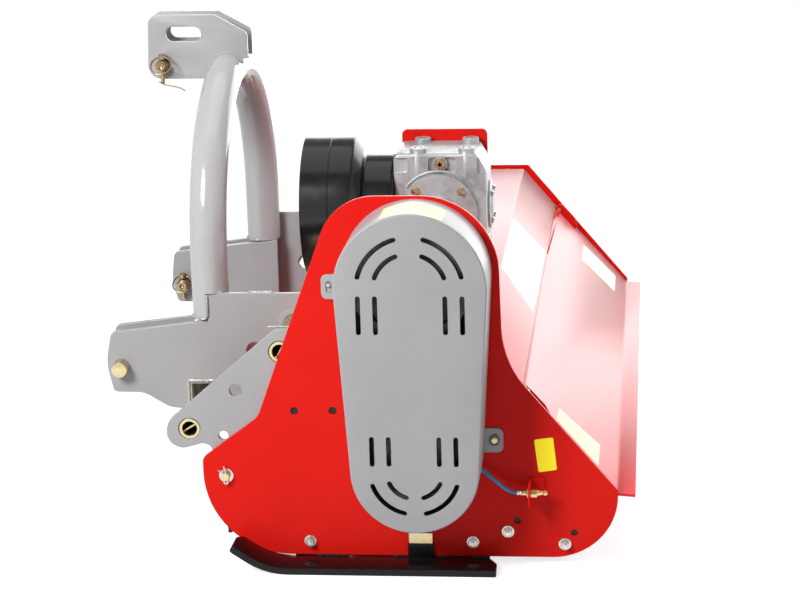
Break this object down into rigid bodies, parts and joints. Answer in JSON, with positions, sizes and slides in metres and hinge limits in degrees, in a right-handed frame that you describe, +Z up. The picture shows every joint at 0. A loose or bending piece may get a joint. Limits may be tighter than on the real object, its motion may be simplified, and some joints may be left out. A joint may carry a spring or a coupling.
{
  "type": "flail mulcher",
  "caption": "Side-shift flail mulcher for a tractor's three-point hitch, with belt-driven hammer rotor, rear roller, lifting rear hood and hooped headstock.",
  "frame": {"origin": "on the ground under the middle of the machine's footprint", "axes": "+X to the rear, away from the tractor; +Y along the rotor from the belt side to the far side; +Z up"},
  "size_m": [1.0904, 1.86, 1.025],
  "materials": {
    "red_paint": "gloss red powder coat",
    "grey_paint": "satin grey powder coat",
    "gloss_black": "gloss black paint",
    "zinc": "yellow zinc plating",
    "casting": "silver painted casting",
    "machined_steel": "machined and oiled",
    "forging": "dark forged surface",
    "black_plastic": "satin black plastic",
    "belt_rubber": "matt rubber",
    "flap_rubber": "matt rubber",
    "blue_hose": "smooth nylon hose",
    "nipple_brass": "turned brass"
  },
  "bodies": {
    "frame": {"near_side_plate": "red_paint", "far_side_plate": "red_paint", "deck_shell": "red_paint", "gearbox_bracket": "red_paint", "near_roller_bracket": "red_paint", "far_roller_bracket": "red_paint", "hose_bracket": "red_paint", "near_hood_pivot": "zinc", "far_hood_pivot": "zinc", "near_skid": "gloss_black", "far_skid": "gloss_black", "near_end_bracket": "grey_paint", "far_end_bracket": "grey_paint", "lower_guide_shaft": "zinc", "upper_guide_shaft": "zinc", "belt_cover": "grey_paint", "gearbox_housing": "casting", "cross_shaft_tube": "casting", "near_rotor_bearing": "casting", "far_rotor_bearing": "casting", "pto_shield": "black_plastic", "drive_belt_1": "belt_rubber", "drive_belt_2": "belt_rubber", "drive_belt_3": "belt_rubber", "flap_rod": "zinc", "grease_hose": "blue_hose", "grease_nipple": "nipple_brass"},
    "headstock": {"headstock_crossbar": "grey_paint", "near_outer_hitch_plate": "grey_paint", "near_inner_hitch_plate": "grey_paint", "far_inner_hitch_plate": "grey_paint", "far_outer_hitch_plate": "grey_paint", "headstock_hoop": "grey_paint", "near_top_link_plate": "grey_paint", "far_top_link_plate": "grey_paint"},
    "near_pin": {"near_lower_pin": "zinc"},
    "far_pin": {"far_lower_pin": "zinc"},
    "top_pin": {"top_link_pin": "zinc"},
    "near_lynch": {"near_lynch_pin": "zinc"},
    "far_lynch": {"far_lynch_pin": "zinc"},
    "top_lynch": {"top_lynch_pin": "zinc"},
    "input": {"input_shaft": "machined_steel"},
    "cross_drive": {"cross_shaft": "machined_steel", "upper_pulley": "forging"},
    "rotor_drive": {"rotor": "forging", "lower_pulley": "forging"},
    "roller": {"rear_roller": "gloss_black"},
    "hood": {"rear_hood": "red_paint"},
    "hammer_1_body": {"hammer_1": "forging"},
    "hammer_2_body": {"hammer_2": "forging"},
    "hammer_3_body": {"hammer_3": "forging"},
    "hammer_4_body": {"hammer_4": "forging"},
    "hammer_5_body": {"hammer_5": "forging"},
    "hammer_6_body": {"hammer_6": "forging"},
    "hammer_7_body": {"hammer_7": "forging"},
    "hammer_8_body": {"hammer_8": "forging"},
    "flap_1_body": {"front_flap_1": "flap_rubber"},
    "flap_2_body": {"front_flap_2": "flap_rubber"},
    "flap_3_body": {"front_flap_3": "flap_rubber"},
    "flap_4_body": {"front_flap_4": "flap_rubber"}
  },
  "joints": [
    {"name": "side_shift", "type": "slide", "parent": "frame", "child": "headstock", "axis": [0, 1, 0], "range_m": [0, 0.22]},
    {"name": "near_pin_turn", "type": "hinge", "parent": "headstock", "child": "near_pin", "pos_m": [-0.51776, -0.585, 0.344], "axis": [0, 1, 0], "continuous": true},
    {"name": "far_pin_turn", "type": "hinge", "parent": "headstock", "child": "far_pin", "pos_m": [-0.51776, 0.161, 0.344], "axis": [0, 1, 0], "continuous": true},
    {"name": "top_pin_turn", "type": "hinge", "parent": "headstock", "child": "top_pin", "pos_m": [-0.46676, -0.177, 0.919], "axis": [0, 1, 0], "continuous": true},
    {"name": "near_lynch_slide", "type": "slide", "parent": "near_pin", "child": "near_lynch", "axis": [0, 0, 1], "range_m": [0, 0.06]},
    {"name": "far_lynch_slide", "type": "slide", "parent": "far_pin", "child": "far_lynch", "axis": [0, 0, 1], "range_m": [0, 0.06]},
    {"name": "top_lynch_slide", "type": "slide", "parent": "top_pin", "child": "top_lynch", "axis": [0, 0, 1], "range_m": [0, 0.06]},
    {"name": "rotor_spin", "type": "hinge", "parent": "frame", "child": "rotor_drive", "pos_m": [0.12424, 0.03, 0.24], "axis": [0, 1, 0], "continuous": true},
    {"name": "cross_spin", "type": "hinge", "parent": "frame", "child": "cross_drive", "pos_m": [0.12424, -0.545, 0.602], "axis": [0, 1, 0], "continuous": true},
    {"name": "input_spin", "type": "hinge", "parent": "frame", "child": "input", "pos_m": [-0.02576, -0.212, 0.602], "axis": [1, 0, 0], "continuous": true},
    {"name": "hammer_1_swing", "type": "hinge", "parent": "rotor_drive", "child": "hammer_1_body", "pos_m": [0.16633, -0.663, 0.34163], "axis": [0, 1, 0], "range_deg": [-210, 0]},
    {"name": "hammer_2_swing", "type": "hinge", "parent": "rotor_drive", "child": "hammer_2_body", "pos_m": [0.16633, -0.465, 0.13837], "axis": [0, 1, 0], "range_deg": [-127.5, 82.5]},
    {"name": "hammer_3_swing", "type": "hinge", "parent": "rotor_drive", "child": "hammer_3_body", "pos_m": [0.02261, -0.267, 0.28209], "axis": [0, 1, 0], "range_deg": [0, 210]},
    {"name": "hammer_4_swing", "type": "hinge", "parent": "rotor_drive", "child": "hammer_4_body", "pos_m": [0.22586, -0.069, 0.28209], "axis": [0, 1, 0], "range_deg": [-210, 0]},
    {"name": "hammer_5_swing", "type": "hinge", "parent": "rotor_drive", "child": "hammer_5_body", "pos_m": [0.08214, 0.129, 0.13837], "axis": [0, 1, 0], "range_deg": [-82.5, 127.5]},
    {"name": "hammer_6_swing", "type": "hinge", "parent": "rotor_drive", "child": "hammer_6_body", "pos_m": [0.08214, 0.327, 0.34163], "axis": [0, 1, 0], "range_deg": [0, 210]},
    {"name": "hammer_7_swing", "type": "hinge", "parent": "rotor_drive", "child": "hammer_7_body", "pos_m": [0.22586, 0.525, 0.1979], "axis": [0, 1, 0], "range_deg": [-172.5, 37.5]},
    {"name": "hammer_8_swing", "type": "hinge", "parent": "rotor_drive", "child": "hammer_8_body", "pos_m": [0.02261, 0.723, 0.1979], "axis": [0, 1, 0], "range_deg": [-37.5, 172.5]},
    {"name": "roller_spin", "type": "hinge", "parent": "frame", "child": "roller", "pos_m": [0.38624, 0.03, 0.0604], "axis": [0, 1, 0], "continuous": true},
    {"name": "hood_lift", "type": "hinge", "parent": "frame", "child": "hood", "pos_m": [0.33416, 0.03, 0.35011], "axis": [0, -1, 0], "range_deg": [0, 60]},
    {"name": "flap_1_swing", "type": "hinge", "parent": "frame", "child": "flap_1_body", "pos_m": [-0.26776, -0.58275, 0.182], "axis": [0, 1, 0], "range_deg": [-60, 10]},
    {"name": "flap_2_swing", "type": "hinge", "parent": "frame", "child": "flap_2_body", "pos_m": [-0.26776, -0.17425, 0.182], "axis": [0, 1, 0], "range_deg": [-60, 10]},
    {"name": "flap_3_swing", "type": "hinge", "parent": "frame", "child": "flap_3_body", "pos_m": [-0.26776, 0.23425, 0.182], "axis": [0, 1, 0], "range_deg": [-60, 10]},
    {"name": "flap_4_swing", "type": "hinge", "parent": "frame", "child": "flap_4_body", "pos_m": [-0.26776, 0.64275, 0.182], "axis": [0, 1, 0], "range_deg": [-60, 10]}
  ],
  "couplings": [
    {"joint": "cross_spin", "follows": "rotor_spin", "ratio": 0.6957},
    {"joint": "input_spin", "follows": "rotor_spin", "ratio": 0.2319}
  ]
}
